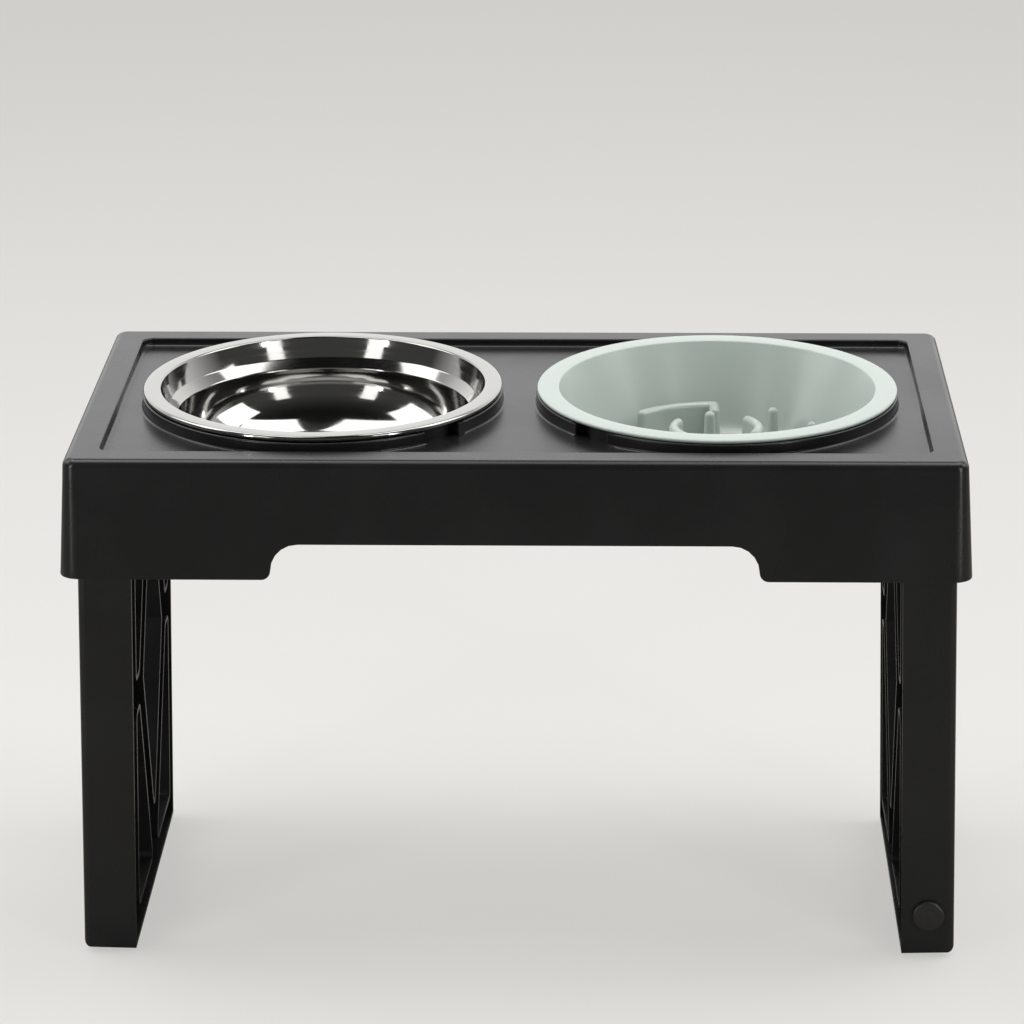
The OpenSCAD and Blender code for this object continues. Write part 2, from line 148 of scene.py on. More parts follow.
# Finishes
@dataclass(frozen=True)
class MouldedPolypropylene:
    """Black polypropylene from a spark-textured mould: a satin black that goes grey at a low angle."""

    colour: str = "#171718"
    pale: str = "#1f1f20"
    gloss: float = 0.24
    dull: float = 0.31
    specular: float = 0.45
    # The real texture is about 0.2 mm fine. It is drawn at this size so that it shows.
    grain_mm: float = 0.8
    grain_depth_mm: float = 0.2
    grain_strength: float = 0.02
    # Flow lines of the melt, which vary the sheen over this length
    flow_mm: float = 60.0

    def material(self) -> bpy.types.Material:
        """Builds the material.

        Returns:
            A satin black with a fine grain in its normal and slow changes in its sheen.
        """
        material, shader, place = fresh_material("black_polypropylene_moulded")
        tree = material.node_tree
        flow = add_node(tree, "ShaderNodeTexNoise", {
            "Vector": place, "Scale": 1 / (self.flow_mm * MM), "Detail": 3.0, "Roughness": 0.55})
        tint = add_node(tree, "ShaderNodeValToRGB", {"Fac": flow.outputs["Fac"]})
        set_ramp(tint, [(0.35, linear(self.colour)), (0.7, linear(self.pale))])
        sheen = add_node(tree, "ShaderNodeMapRange", {
            "Value": flow.outputs["Fac"], "From Min": 0.3, "From Max": 0.7, "To Min": self.gloss,
            "To Max": self.dull})
        grain = add_node(tree, "ShaderNodeTexNoise", {
            "Vector": place, "Scale": 1 / (self.grain_mm * MM), "Detail": 2.0})
        bump = add_node(tree, "ShaderNodeBump", {
            "Strength": self.grain_strength, "Distance": self.grain_depth_mm * MM,
            "Height": grain.outputs["Fac"]})
        tree.links.new(tint.outputs["Color"], shader.inputs["Base Color"])
        tree.links.new(sheen.outputs["Result"], shader.inputs["Roughness"])
        tree.links.new(bump.outputs["Normal"], shader.inputs["Normal"])
        shader.inputs["IOR"].default_value = POLYPROPYLENE_IOR
        shader.inputs["Specular IOR Level"].default_value = self.specular
        return material


@dataclass(frozen=True)
class PolishedSteel:
    """Spun and polished stainless steel: a mirror with faint rings from the polishing wheel."""

    centre: Point
    colour: str = "#b2b1ae"
    clean: float = 0.05
    worn: float = 0.13
    # The wheel leaves rings far finer than a pixel. They are drawn this far apart so that they show.
    ring_mm: float = 1.6
    ring_depth_mm: float = 0.05
    ring_strength: float = 0.02
    # Wiping leaves patches of about this size that are a little duller
    smudge_mm: float = 35.0

    def material(self) -> bpy.types.Material:
        """Builds the material.

        Returns:
            A bright metal whose sheen varies in fine rings round the bowl's axis.
        """
        material, shader, place = fresh_material("stainless_steel_polished")
        tree = material.node_tree
        centred = add_node(tree, "ShaderNodeMapping", {
            "Vector": place, "Location": (-self.centre[0] * MM, -self.centre[1] * MM, 0.0)})
        split = add_node(tree, "ShaderNodeSeparateXYZ", {"Vector": centred.outputs["Vector"]})
        flat = add_node(tree, "ShaderNodeCombineXYZ", {"X": split.outputs["X"], "Y": split.outputs["Y"]})
        radius = add_node(tree, "ShaderNodeVectorMath", {0: flat.outputs["Vector"]}, operation="LENGTH")
        height = add_node(tree, "ShaderNodeMath", {
            0: radius.outputs["Value"], 1: split.outputs["Z"]}, operation="SUBTRACT")
        rings = add_node(tree, "ShaderNodeTexNoise", {
            "W": height.outputs["Value"], "Scale": 1 / (self.ring_mm * MM), "Detail": 3.0},
            noise_dimensions="1D")
        smudge = add_node(tree, "ShaderNodeTexNoise", {
            "Vector": place, "Scale": 1 / (self.smudge_mm * MM), "Detail": 2.0})
        both = add_node(tree, "ShaderNodeMath", {
            0: rings.outputs["Fac"], 1: smudge.outputs["Fac"]}, operation="MULTIPLY")
        sheen = add_node(tree, "ShaderNodeMapRange", {
            "Value": both.outputs["Value"], "From Min": 0.12, "From Max": 0.4, "To Min": self.clean,
            "To Max": self.worn})
        bump = add_node(tree, "ShaderNodeBump", {
            "Strength": self.ring_strength, "Distance": self.ring_depth_mm * MM,
            "Height": rings.outputs["Fac"]})
        shader.inputs["Base Color"].default_value = linear(self.colour)
        shader.inputs["Metallic"].default_value = 1.0
        tree.links.new(sheen.outputs["Result"], shader.inputs["Roughness"])
        tree.links.new(bump.outputs["Normal"], shader.inputs["Normal"])
        return material


@dataclass(frozen=True)
class SagePlastic:
    """Sage polypropylene from a polished mould: a soft gloss under a clearer skin."""

    colour: str = "#abb6ae"
    pale: str = "#b3bcb5"
    gloss: float = 0.3
    dull: float = 0.4
    coat: float = 0.6
    coat_roughness: float = 0.2
    # Slow changes of tone, and a fine orange peel of the mould drawn as coarse as it needs to show
    tone_mm: float = 45.0
    peel_mm: float = 1.4
    peel_depth_mm: float = 0.2
    peel_strength: float = 0.03

    def material(self) -> bpy.types.Material:
        """Builds the material.

        Returns:
            A pale grey-green with a soft gloss.
        """
        material, shader, place = fresh_material("sage_polypropylene_moulded")
        tree = material.node_tree
        tone = add_node(tree, "ShaderNodeTexNoise", {
            "Vector": place, "Scale": 1 / (self.tone_mm * MM), "Detail": 3.0})
        tint = add_node(tree, "ShaderNodeValToRGB", {"Fac": tone.outputs["Fac"]})
        set_ramp(tint, [(0.3, linear(self.colour)), (0.7, linear(self.pale))])
        sheen = add_node(tree, "ShaderNodeMapRange", {
            "Value": tone.outputs["Fac"], "From Min": 0.3, "From Max": 0.7, "To Min": self.gloss,
            "To Max": self.dull})
        peel = add_node(tree, "ShaderNodeTexNoise", {
            "Vector": place, "Scale": 1 / (self.peel_mm * MM), "Detail": 1.0})
        bump = add_node(tree, "ShaderNodeBump", {
            "Strength": self.peel_strength, "Distance": self.peel_depth_mm * MM,
            "Height": peel.outputs["Fac"]})
        tree.links.new(tint.outputs["Color"], shader.inputs["Base Color"])
        tree.links.new(sheen.outputs["Result"], shader.inputs["Roughness"])
        tree.links.new(bump.outputs["Normal"], shader.inputs["Normal"])
        shader.inputs["IOR"].default_value = POLYPROPYLENE_IOR
        shader.inputs["Coat Weight"].default_value = self.coat
        shader.inputs["Coat Roughness"].default_value = self.coat_roughness
        return material


@dataclass(frozen=True)
class BlackRubber:
    """Moulded rubber: a low sheen, a little greyer than the plastic, with dusty specks."""

    colour: str = "#242423"
    dust: str = "#353431"
    roughness: float = 0.3
    specular: float = 0.5
    # Specks of dust are about this far apart
    speck_mm: float = 1.1
    speck_depth_mm: float = 0.1
    speck_strength: float = 0.15

    def material(self) -> bpy.types.Material:
        """Builds the material.

        Returns:
            A dark grey with a low sheen and a fine broken tone.
        """
        material, shader, place = fresh_material("black_rubber_moulded")
        tree = material.node_tree
        specks = add_node(tree, "ShaderNodeTexNoise", {
            "Vector": place, "Scale": 1 / (self.speck_mm * MM), "Detail": 4.0, "Roughness": 0.65})
        tint = add_node(tree, "ShaderNodeValToRGB", {"Fac": specks.outputs["Fac"]})
        set_ramp(tint, [(0.45, linear(self.colour)), (0.75, linear(self.dust))])
        bump = add_node(tree, "ShaderNodeBump", {
            "Strength": self.speck_strength, "Distance": self.speck_depth_mm * MM,
            "Height": specks.outputs["Fac"]})
        tree.links.new(tint.outputs["Color"], shader.inputs["Base Color"])
        tree.links.new(bump.outputs["Normal"], shader.inputs["Normal"])
        shader.inputs["Roughness"].default_value = self.roughness
        shader.inputs["Specular IOR Level"].default_value = self.specular
        return material


# Outline helpers
def arc(centre: Point, radius: float, start: float, stop: float, steps: int) -> list[Point]:
    """Points of an arc.

    Args:
        centre: Centre of the arc.
        radius: Its radius.
        start: First angle in degrees.
        stop: Last angle in degrees.
        steps: Number of steps between them.

    Returns:
        The points in order, both ends included.
    """
    angles = [math.radians(start + (stop - start) * i / steps) for i in range(steps + 1)]
    return [(centre[0] + radius * math.cos(a), centre[1] + radius * math.sin(a)) for a in angles]


def polar(radius: float, angle: float) -> Point:
    """Point at a radius and an angle in degrees."""
    return radius * math.cos(math.radians(angle)), radius * math.sin(math.radians(angle))


def rounded_path(points: Sequence[Point], radii: Sequence[float], steps: int = 6) -> list[Point]:
    """Rounds the corners of a path.

    Args:
        points: Corners of the path.
        radii: Radius at each corner. The two ends, and corners with 0, stay sharp.
        steps: Steps along each rounded corner.

    Returns:
        The points of the rounded path.
    """
    made: list[Point] = [points[0]]
    for before, corner, after, radius in zip(points, points[1:], points[2:], radii[1:]):
        c = Vector(corner)
        u, v = (Vector(before) - c).normalized(), (Vector(after) - c).normalized()
        half = u.angle(v) / 2
        if radius <= 0 or half > math.radians(NEARLY_STRAIGHT):
            made.append(corner)
            continue
        centre = c + (u + v).normalized() * (radius / math.sin(half))
        first = c + u * (radius / math.tan(half)) - centre
        last = c + v * (radius / math.tan(half)) - centre
        for i in range(steps + 1):
            spoke = first.lerp(last, i / steps).normalized() * radius
            made.append(tuple(centre + spoke))
    made.append(points[-1])
    return made


def tangent_angle(centre: Point, radius: float, point: Point) -> float:
    """Angle at which a line from a point touches the lower side of a circle.

    Args:
        centre: Centre of the circle.
        radius: Its radius.
        point: A point outside it.

    Returns:
        The angle in degrees.
    """
    across, up = point[0] - centre[0], point[1] - centre[1]
    return math.degrees(math.atan2(up, across) - math.acos(radius / math.hypot(across, up)))


# Modelling helpers
def start_fresh() -> None:
    """Leaves edit mode and deselects everything."""
    if bpy.context.object is not None and bpy.context.object.mode != "OBJECT":
        bpy.ops.object.mode_set(mode="OBJECT")
    bpy.ops.object.select_all(action="DESELECT")


def make_active(piece: bpy.types.Object) -> None:
    """Makes a piece the active and only selected object.

    Args:
        piece: The piece.
    """
    start_fresh()
    piece.select_set(True)
    bpy.context.view_layer.objects.active = piece


def first_vertex(name: str, place: Vector) -> bpy.types.Object:
    """Adds a small plane, merges it to one vertex and stays in edit mode.

    Args:
        name: Name of the new piece.
        place: Where the vertex goes, in millimetres.

    Returns:
        The piece.
    """
    start_fresh()
    bpy.ops.mesh.primitive_plane_add(size=MM, location=place * MM)
    piece = bpy.context.object
    piece.name = piece.data.name = name
    bpy.ops.object.transform_apply(location=True, rotation=True, scale=True)
    bpy.ops.object.mode_set(mode="EDIT")
    bpy.ops.mesh.select_mode(type="VERT")
    bpy.ops.mesh.select_all(action="SELECT")
    bpy.ops.mesh.merge(type="CENTER")
    return piece


def trace(name: str, path: Sequence[Vector]) -> bpy.types.Object:
    """Draws a path by extruding one vertex from point to point, and stays in edit mode.

    Args:
        name: Name of the new piece.
        path: Points in millimetres.

    Returns:
        The piece.
    """
    piece = first_vertex(name, path[0])
    for a, b in zip(path, path[1:]):
        bpy.ops.mesh.extrude_vertices_move(TRANSFORM_OT_translate={"value": (b - a) * MM})
    return piece


def close_up(merge_mm: float = 0.005) -> None:
    """Merges doubles of the whole mesh in edit mode and points its faces outwards.

    Args:
        merge_mm: Distance within which points are merged.
    """
    bpy.ops.mesh.select_all(action="SELECT")
    bpy.ops.mesh.remove_doubles(threshold=merge_mm * MM)
    bpy.ops.mesh.normals_make_consistent(inside=False)


def spun(name: str, profile: Sequence[Point], place: Vector, steps: int) -> bpy.types.Object:
    """Spins a half section round a vertical axis.

    Args:
        name: Name of the new piece.
        profile: Radius and height of each point, from axis to axis, in millimetres.
        place: Where the axis stands and height zero lies, in millimetres.
        steps: Steps round the axis.

    Returns:
        The closed piece, in object mode.
    """
    piece = trace(name, [place + Vector((r, 0.0, z)) for r, z in profile])
    bpy.ops.mesh.select_all(action="SELECT")
    bpy.ops.mesh.spin(steps=steps, angle=math.tau, center=place * MM, axis=(0.0, 0.0, 1.0))
    close_up()
    bpy.ops.object.mode_set(mode="OBJECT")
    return piece


def smooth(piece: bpy.types.Object, angle: float = 32.0) -> None:
    """Shades a piece smooth except over its sharp edges."""
    make_active(piece)
    bpy.ops.object.shade_smooth_by_angle(angle=math.radians(angle))


def dress(piece: bpy.types.Object, material: bpy.types.Material) -> None:
    """Gives a piece one material."""
    piece.data.materials.clear()
    piece.data.materials.append(material)


def put_in_frame(piece: bpy.types.Object, body: str, node: str) -> None:
    """Lets a piece ride on a body in place of a CAD node and reports it.

    Args:
        piece: The finished piece.
        body: CAD body that carries it.
        node: CAD node that it stands for.
    """
    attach(piece, body)
    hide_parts(node)
    log.info("%s: %d faces on %s", piece.name, len(piece.data.polygons), body)


@dataclass(frozen=True)
class SoftEdge:
    """A set of sharp edges that a mould leaves round."""

    width: float
    segments: int
    # Takes the middle of an edge and its direction, in millimetres
    chosen: Callable[[Vector, Vector], bool]


def soft_edged_copy(node: str, name: str, edges: Sequence[SoftEdge], sharp: float = 28.0,
                    flat: float = 0.4, merge_mm: float = 0.002,
                    fair: Optional[Callable[[Vector], Vector]] = None) -> bpy.types.Object:
    """Copies a CAD node and rounds the edges that its mould rounds.

    Args:
        node: CAD node to copy.
        name: Name of the copy.
        edges: Sets of edges, rounded in this order.
        sharp: Least angle in degrees between the faces of such an edge.
        flat: Angle in degrees within which neighbouring faces become one.
        merge_mm: Distance within which points are merged.
        fair: Gives the fair place of a point, in millimetres, where the skin has to be evened out.

    Returns:
        The copy, shaded smooth.
    """
    start_fresh()
    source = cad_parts[node]
    piece = bpy.data.objects.new(name, source.data.copy())
    piece.data.name = name
    bpy.context.scene.collection.objects.link(piece)
    if fair is not None:
        for vertex in piece.data.vertices:
            vertex.co = fair(vertex.co / MM) * MM
    make_active(piece)
    bpy.ops.object.mode_set(mode="EDIT")
    bpy.ops.mesh.select_mode(type="EDGE")
    bpy.ops.mesh.select_all(action="SELECT")
    bpy.ops.mesh.remove_doubles(threshold=merge_mm * MM)
    bpy.ops.mesh.dissolve_limited(angle_limit=math.radians(flat), use_dissolve_boundaries=False)
    for group in edges:
        bpy.ops.mesh.select_all(action="DESELECT")
        shape = bmesh.from_edit_mesh(piece.data)
        for edge in shape.edges:
            if len(edge.link_faces) == 2 and edge.calc_face_angle(0.0) > math.radians(sharp):
                a, b = edge.verts[0].co / MM, edge.verts[1].co / MM
                edge.select = group.chosen((a + b) / 2, b - a)
        shape.select_flush_mode()
        bmesh.update_edit_mesh(piece.data)
        bpy.ops.mesh.bevel(offset=group.width * MM, segments=group.segments, affect="EDGES",
                           clamp_overlap=True)
    bpy.ops.object.mode_set(mode="OBJECT")
    smooth(piece)
    even = piece.modifiers.new("even_shading", "WEIGHTED_NORMAL")
    even.keep_sharp = True
    bpy.ops.object.modifier_apply(modifier=even.name)
    return piece


# Sub-assemblies
@dataclass
class Tray:
    """The moulded tray: a flared skirt with arches, a raised border and two ring seats."""

    top: float = 305.0
    recess: float = 300.2
    seat: float = 307.5
    seat_x: float = 112.0
    skirt_foot: float = 238.0
    half_w: float = 245.0
    flare: float = 4.0
    border_round: float = 1.1
    ring_fillet: float = 1.8
    ring_round: float = 1.0
    rim_round: float = 0.7
    # Edges this far from a seat's axis lie on the outside of its ring
    ring_outside: Point = (101.0, 104.0)
    # The arches end this far above the skirt's foot
    arch_reach: float = 21.0
    # The guides for the legs lie within this distance of the middle
    guide_reach: float = 110.0
    # An edge lies on a level within this distance of it
    level_slack: float = 0.05
    merge: float = 0.03

    def faired(self, point: Vector) -> Vector:
        """Brings the end of a leg guide that stands proud of the side skirt back to its face.

        Args:
            point: A point of the solid.

        Returns:
            The point, on the skirt's face if it stood outside it.
        """
        face = self.half_w + self.flare * (self.top - point.z) / (self.top - self.skirt_foot)
        if abs(point.y) < self.guide_reach and abs(point.x) > face:
            return Vector((math.copysign(face, point.x), point.y, point.z))
        return point

    def build(self) -> bpy.types.Object:
        """Models the tray.

        Returns:
            The tray with its moulded edges rounded.
        """
        def near(value: float, level: float) -> bool:
            """Whether a height lies on a level."""
            return abs(value - level) < self.level_slack

        def outside(middle: Vector) -> bool:
            """Whether an edge lies on the outside of a seat ring."""
            low, high = self.ring_outside
            return low < math.hypot(abs(middle.x) - self.seat_x, middle.y) < high

        return soft_edged_copy("tray", "tray_moulding", [
            SoftEdge(self.border_round, 3, lambda m, d: near(m.z, self.top)),
            SoftEdge(self.ring_fillet, 4, lambda m, d: near(m.z, self.recess) and outside(m)),
            SoftEdge(self.ring_round, 3, lambda m, d: near(m.z, self.seat) and outside(m)),
            SoftEdge(self.rim_round, 2, lambda m, d: m.z < self.skirt_foot + self.arch_reach),
        ], merge_mm=self.merge, fair=self.faired)

    def dress(self, piece: bpy.types.Object, plastic: bpy.types.Material) -> None:
        """Gives the tray its finish and its place."""
        dress(piece, plastic)
        put_in_frame(piece, "tray", "tray")


@dataclass
class LegPanel:
    """One of the two equal lattice legs, turned half round on the left."""

    side: Side
    edge_round: float = 0.6

    @property
    def name(self) -> str:
        """Name of the leg's node and body."""
        return f"{self.side.name.lower()}_leg"

    def build(self) -> bpy.types.Object:
        """Models the leg.

        Returns:
            The leg with its moulded edges rounded.
        """
        return soft_edged_copy(self.name, f"{self.name}_moulding", [
            SoftEdge(self.edge_round, 2, lambda m, d: True)])

    def dress(self, piece: bpy.types.Object, plastic: bpy.types.Material) -> None:
        """Gives the leg its finish and its place."""
        dress(piece, plastic)
        put_in_frame(piece, self.name, self.name)


@dataclass
class SteelBowl:
    """The spun steel bowl with a flat rolled rim and a stepped shoulder."""

    x: float = -112.0
    rim_top: float = 311.0
    rim_r: float = 102.0
    mouth_r: float = 92.0
    rim_h: float = 3.2
    sheet: float = 1.0
    depth: float = 54.0
    wall_h: float = 11.5
    wall_r: float = 88.0
    shoulder_h: float = 16.5
    shoulder_r: float = 83.0
    dish_r: float = 36.0
    mouth_round: float = 1.2
    shoulder_round: float = 1.6
    # The hem's edge lies this far above the rolled rim's foot, and its sheet this far from the wall
    hem_lift: float = 0.4
    hem_gap: float = 0.6
    steps: int = 160
    # Edges with a larger angle than this, in degrees, stay sharp in the shading
    smooth_to: float = 40.0

    def skin(self, grow: float) -> list[Point]:
        """Half section of one side of the sheet, from the axis to the mouth.

        Args:
            grow: Distance of this skin outside the inner one.

        Returns:
            Points of the skin below the rim.
        """
        centre = (self.shoulder_r - self.dish_r, self.dish_r - self.depth)
        dish = arc(centre, self.dish_r + grow, -90, 0, 20)
        corners = [dish[-1], (self.shoulder_r + grow, -self.shoulder_h),
                   (self.wall_r + grow, -self.wall_h), (self.mouth_r + grow, -self.mouth_round)]
        wall = rounded_path(corners, [0, self.shoulder_round + grow, self.shoulder_round, 0])
        return [(0.0, -self.depth - grow)] + dish + wall[1:]

    def build(self) -> bpy.types.Object:
        """Models the bowl.

        Returns:
            The closed sheet, spun from its half section.
        """
        roll = self.rim_h / 2
        edge_r = self.rim_r - 2 * roll
        lip = arc((self.mouth_r + self.mouth_round, -self.mouth_round), self.mouth_round, 180, 90, 6)
        curl = arc((self.rim_r - roll, -roll), roll, 90, -90, 14)
        hem = [(edge_r, self.hem_lift - self.rim_h), (edge_r, -self.sheet),
               (self.mouth_r + self.sheet + self.hem_gap, -self.sheet)]
        profile = self.skin(0.0)[:-1] + lip + curl + hem + self.skin(self.sheet)[::-1]
        return spun("steel_bowl_sheet", profile, Vector((self.x, 0.0, self.rim_top)), self.steps)

    def dress(self, piece: bpy.types.Object, steel: bpy.types.Material) -> None:
        """Gives the bowl its finish and its place.

        Args:
            piece: The finished bowl.
            steel: Its material.
        """
        smooth(piece, self.smooth_to)
        dress(piece, steel)
        put_in_frame(piece, "steel_bowl", "steel_bowl")


@dataclass
class SlowFeederBowl:
    """The sage bowl with a flat rim and a maze of round-topped ridges on its floor."""

    x: float = 112.0
    rim_top: float = 309.8
    rim_r: float = 102.0
    mouth_r: float = 89.8
    rim_h: float = 2.0
    wall: float = 2.4
    depth: float = 51.0
    base_r: float = 72.0
    dish_r: float = 12.0
    mouth_round: float = 1.0
    rim_round: float = 0.95
    outer_ridge_h: float = 22.5
    inner_ridge_h: float = 28.0
    ridge_top_w: float = 6.0
    ridge_draft: float = 0.9
    ridge_fillet: float = 1.6
    ridge_sink: float = 0.6
    # A ridge's fillet starts a hair above the floor, so that the floor cuts the ridge in one clean line
    fillet_lift: float = 0.05
    # Angle at which the round top of a ridge ends in a small flat
    crown_angle: float = 78.0
    outer_r: float = 60.5
    inner_r: float = 24.0
    hook: float = 11.0
    outer_from: float = 90.0
    outer_span: float = 44.0
    inner_from: float = -25.0
    inner_span: float = 65.0
    outer_posts: tuple[Point, ...] = ((60.0, 55.5), (60.0, 22.0))
    inner_post: Point = (24.5, 97.5)
    folds: int = 2
    steps: int = 144
    post_steps: int = 36
    # Edges with a larger angle than this, in degrees, stay sharp in the shading
    smooth_to: float = 38.0

    def skin(self, grow: float) -> list[Point]:
        """Half section of one side of the wall, from the axis up to the rim.

        Args:
            grow: Distance of this skin outside the inner one.

        Returns:
            Points of the skin below the rim.
        """
        centre = (self.base_r - self.dish_r, self.dish_r - self.depth)
        mouth = (self.mouth_r + grow, -self.rim_h / 2)
        turn = tangent_angle(centre, self.dish_r + grow, mouth)
        return [(0.0, -self.depth - grow)] + arc(centre, self.dish_r + grow, -90, turn, 12) + [mouth]

    def shell(self) -> bpy.types.Object:
        """Models the bowl without its ridges.

        Returns:
            The closed shell.
        """
        inner, outer = self.skin(0.0), self.skin(self.wall)
        (foot_r, foot_z), (top_r, top_z) = outer[-2:]
        under = (top_r + (top_r - foot_r) / (top_z - foot_z) * (-self.rim_h - top_z), -self.rim_h)
        rim = rounded_path(
            [inner[-2], (self.mouth_r, 0.0), (self.rim_r, 0.0), (self.rim_r, -self.rim_h), under],
            [0, self.mouth_round, self.rim_round, self.rim_round, 0], 6)
        profile = inner[:-1] + rim[1:] + outer[::-1][1:]
        return spun("slow_feeder_shell", profile, Vector((self.x, 0.0, self.rim_top)), self.steps)

    def outline(self, radius: float, start: float, stop: float, hook: float, half: float) -> list[Point]:
        """Clockwise outline of an arc ridge round the bowl's axis.

        Args:
            radius: Radius of its middle line.
            start: Angle of its first end in degrees.
            stop: Angle of its last end.
            hook: Length by which the first end turns in towards the axis, or 0.
            half: Distance of the outline from the middle line.

        Returns:
            Points of the outline.
        """
        outer = arc((0.0, 0.0), radius + half, stop, start, 16)[:-1]
        last = arc(polar(radius, stop), half, stop + 180, stop, 12)[:-1]
        inside = start
        if hook > 0:
            first = arc(polar(radius, start), half, start, start - 90, 6)
            first += arc(polar(radius - hook, start), half, start - 90, start - 270, 12)
            inside += math.degrees(math.asin(half / (radius - half)))
        else:
            first = arc(polar(radius, start), half, start, start - 180, 12)[:-1]
        return outer + first + arc((0.0, 0.0), radius - half, inside, stop, 16)[:-1] + last

    def levels(self, height: float) -> list[Point]:
        """Half width and height of a ridge at each level.

        Args:
            height: Height of its top above the floor.

        Returns:
            Points from its foot fillet to its round top.
        """
        top = self.ridge_top_w / 2
        foot = top + self.ridge_draft + self.ridge_fillet
        fillet = arc((foot, self.ridge_fillet + self.fillet_lift), self.ridge_fillet, -90, -180, 5)
        return fillet + arc((0.0, height - top), top, 0, self.crown_angle, 7)

    def ridge(self, radius: float, start: float, stop: float, hook: float,
              height: float) -> bpy.types.Object:
        """Raises one ridge from the floor by insets.

        Args:
            radius: Radius of its middle line.
            start: Angle of its first end in degrees.
            stop: Angle of its last end.
            hook: Length by which the first end turns in towards the axis, or 0.
            height: Height of its top above the floor.

        Returns:
            The ridge, in object mode.
        """
        levels = self.levels(height)
        floor = Vector((self.x, 0.0, self.rim_top - self.depth - self.ridge_sink))
        ring = self.outline(radius, start, stop, hook, levels[0][0])
        piece = trace("ridge", [floor + Vector((x, y, 0.0)) for x, y in ring])
        bpy.ops.mesh.select_all(action="SELECT")
        bpy.ops.mesh.edge_face_add()
        if bmesh.from_edit_mesh(piece.data).faces[:][0].normal.z < 0:
            bpy.ops.mesh.flip_normals()
        rise = (self.ridge_sink + levels[0][1]) * MM
        bpy.ops.mesh.extrude_region_move(TRANSFORM_OT_translate={"value": (0.0, 0.0, rise)})
        for (wide, low), (narrow, high) in zip(levels, levels[1:]):
            bpy.ops.mesh.inset(thickness=(wide - narrow) * MM, depth=(high - low) * MM)
        close_up()
        bpy.ops.object.mode_set(mode="OBJECT")
        return piece

    def post(self, radius: float, angle: float, height: float) -> bpy.types.Object:
        """Spins one round post with the section of a ridge.

        Args:
            radius: Distance of the post from the bowl's axis.
            angle: Its angle in degrees.
            height: Height of its top above the floor.

        Returns:
            The post, in object mode.
        """
        levels = self.levels(height)
        profile = [(0.0, -self.ridge_sink), (levels[0][0], -self.ridge_sink)] + levels + [(0.0, height)]
        x, y = polar(radius, angle)
        place = Vector((self.x + x, y, self.rim_top - self.depth))
        return spun("post", profile, place, self.post_steps)

    def build(self) -> bpy.types.Object:
        """Models the bowl.

        Returns:
            The shell and its ridges in one skin.
        """
        shell = self.shell()
        outer_to, inner_to = self.outer_from + self.outer_span, self.inner_from + self.inner_span
        parts = [self.ridge(self.outer_r, self.outer_from, outer_to, self.hook, self.outer_ridge_h),
                 self.ridge(self.inner_r, self.inner_from, inner_to, 0.0, self.inner_ridge_h),
                 self.post(*self.inner_post, self.inner_ridge_h)]
        parts += [self.post(*spot, self.outer_ridge_h) for spot in self.outer_posts]
        start_fresh()
        for part in parts:
            part.select_set(True)
        bpy.context.view_layer.objects.active = parts[0]
        bpy.ops.object.join()
        bpy.ops.object.mode_set(mode="EDIT")
        bpy.ops.mesh.select_all(action="SELECT")
        turn = math.tau / self.folds
        bpy.ops.mesh.spin(steps=self.folds - 1, dupli=True, angle=math.tau - turn,
                          center=(self.x * MM, 0.0, 0.0), axis=(0.0, 0.0, 1.0))
        bpy.ops.object.mode_set(mode="OBJECT")
        maze = bpy.context.object
        make_active(shell)
        union = shell.modifiers.new("maze", "BOOLEAN")
        union.operation, union.solver, union.object = "UNION", "MANIFOLD", maze
        bpy.ops.object.modifier_apply(modifier=union.name)
        bpy.data.objects.remove(maze)
        bpy.ops.object.mode_set(mode="EDIT")
        close_up()
        bpy.ops.object.mode_set(mode="OBJECT")
        shell.name = shell.data.name = "slow_feeder_moulding"
        return shell

    def dress(self, piece: bpy.types.Object, plastic: bpy.types.Material) -> None:
        """Gives the bowl its finish and its place.

        Args:
            piece: The finished bowl.
            plastic: Its material.
        """
        smooth(piece, self.smooth_to)
        dress(piece, plastic)
        put_in_frame(piece, "slow_feeder_bowl", "slow_feeder_bowl")


@dataclass
class LegFrame:
    """Where a leg's outer face and top lie, how it leans, and its size."""

    face_x: float = 241.6
    top: float = 296.9
    rake: float = 1.3
    depth: float = 196.0
    thick: float = 30.0
    # Along the lean, down to the feet, which stand on the floor
    length: float = 293.9352

    def matrix(self, side: Side) -> Matrix:
        """Transform from a leg's own frame to the stand, in millimetres.

        Args:
            side: Side of the leg.

        Returns:
            The leg's lean and place, turned half round on the left.
        """
        half_turn = Matrix.Rotation(0.0 if side is Side.RIGHT else math.pi, 4, "Z")
        lean = Matrix.Rotation(math.radians(-self.rake), 4, "Y")
        return half_turn @ Matrix.Translation((self.face_x, 0.0, self.top)) @ lean


